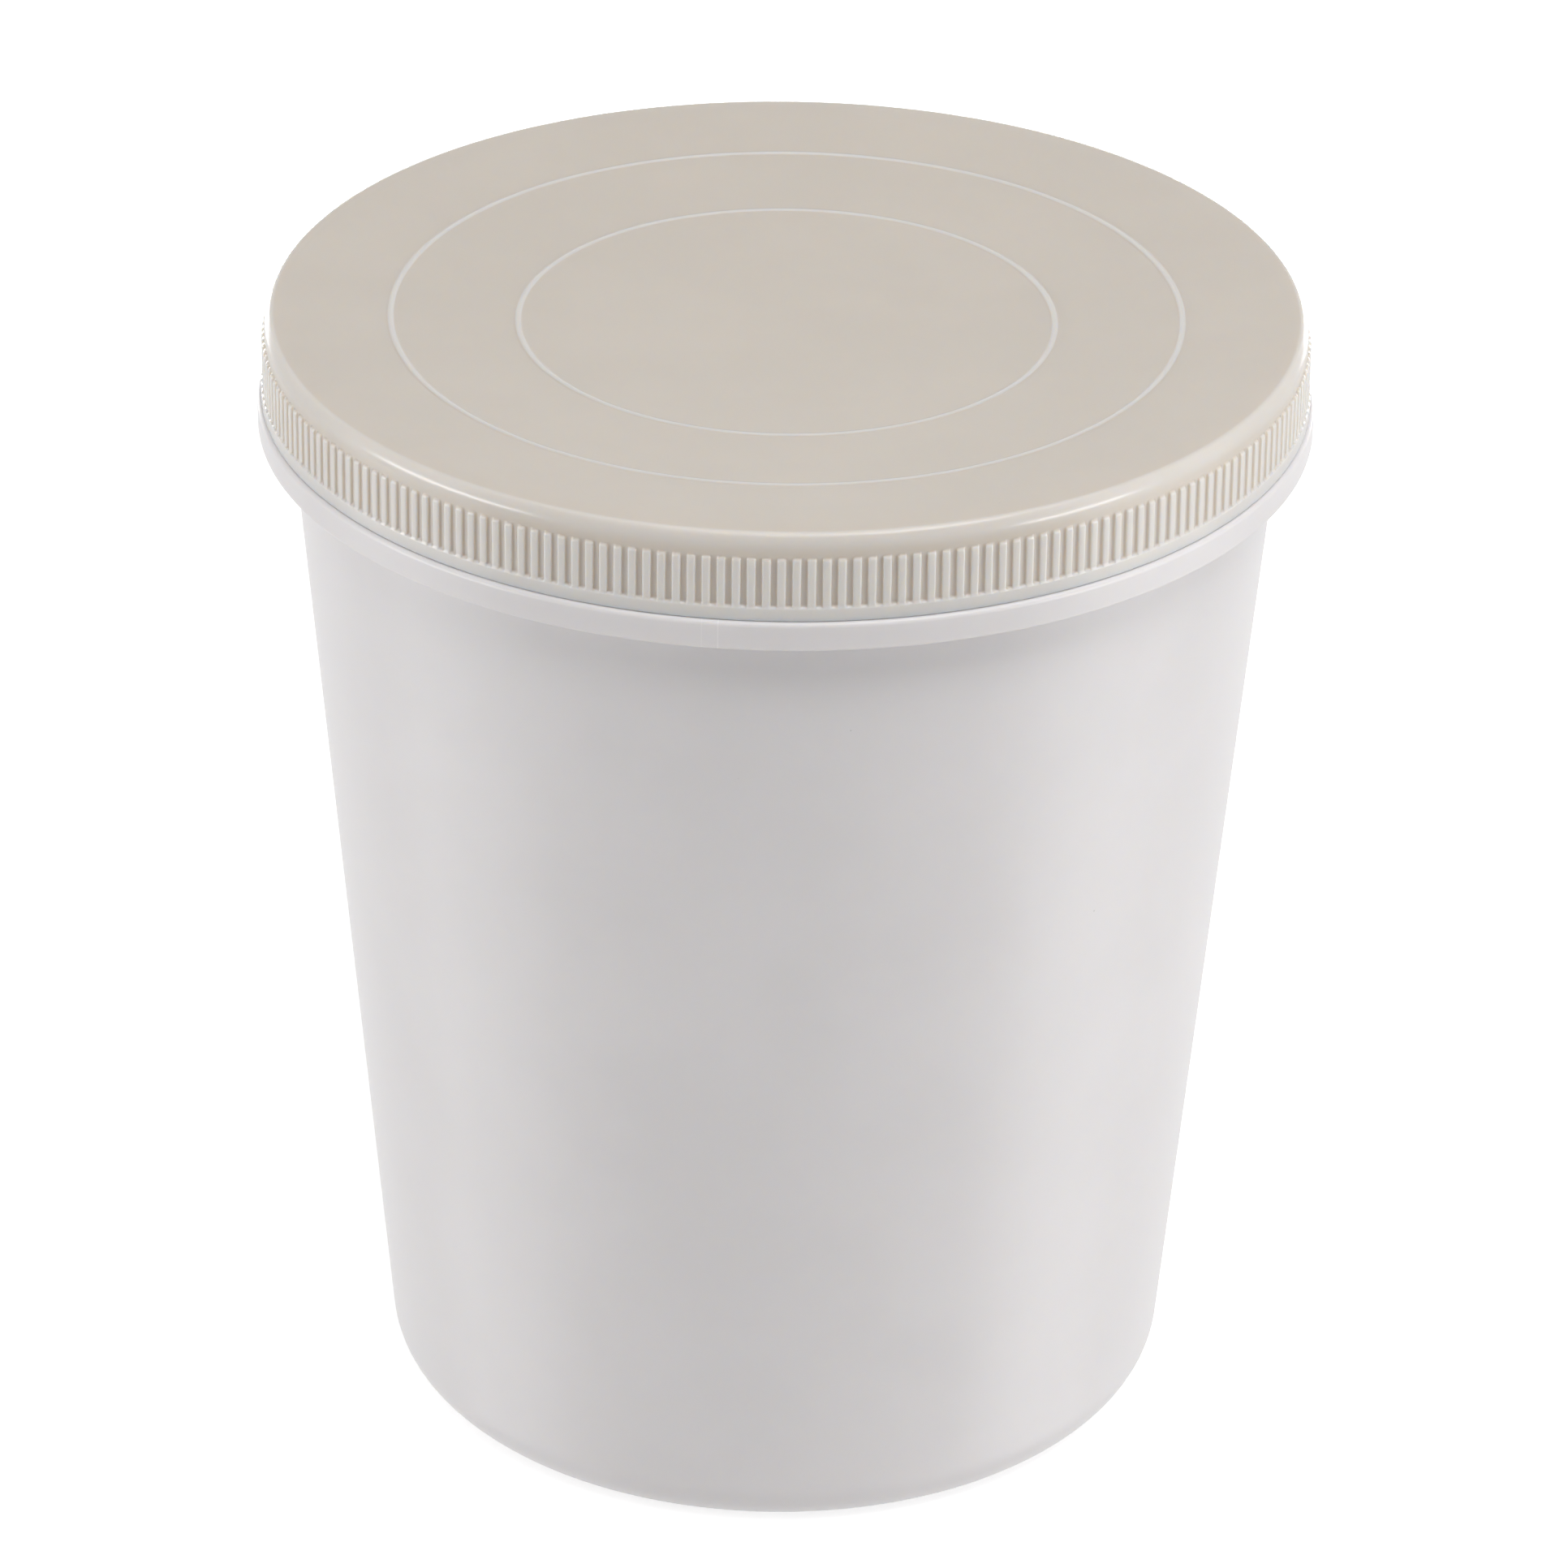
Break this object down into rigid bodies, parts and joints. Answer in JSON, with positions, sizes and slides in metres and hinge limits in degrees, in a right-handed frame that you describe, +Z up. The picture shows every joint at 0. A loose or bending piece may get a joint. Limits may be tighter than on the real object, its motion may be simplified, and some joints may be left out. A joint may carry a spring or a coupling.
{
  "type": "paint cup with lid",
  "caption": "Round tapered plastic paint cup with a flanged neck, and a shallow screw lid with a ribbed grip, a dished top and a soft sealing disc inside.",
  "frame": {"origin": "centre of the foot, on the surface that the cup stands on", "axes": "+Z up along the cup's axis, -Y towards the viewer of the picture, +X to the viewer's right"},
  "size_m": [0.1216, 0.1216, 0.1373],
  "materials": {
    "cup_plastic": "satin",
    "lid_plastic": "satin",
    "seal_foam": "matte"
  },
  "bodies": {
    "cup": {"cup": "cup_plastic"},
    "sealing_disc": {"sealing_disc": "seal_foam"},
    "lid": {"lid": "lid_plastic"}
  },
  "joints": [
    {"name": "lid_lift", "type": "slide", "parent": "cup", "child": "sealing_disc", "axis": [0, 0, 1], "range_m": [0, 0.0101]},
    {"name": "lid_turn", "type": "hinge", "parent": "sealing_disc", "child": "lid", "pos_m": [0, 0, 0.12715], "axis": [0, 0, 1], "range_deg": [0, 720]}
  ],
  "couplings": [
    {"joint": "lid_lift", "follows": "lid_turn", "m_per_rad": 0.00079577}
  ]
}
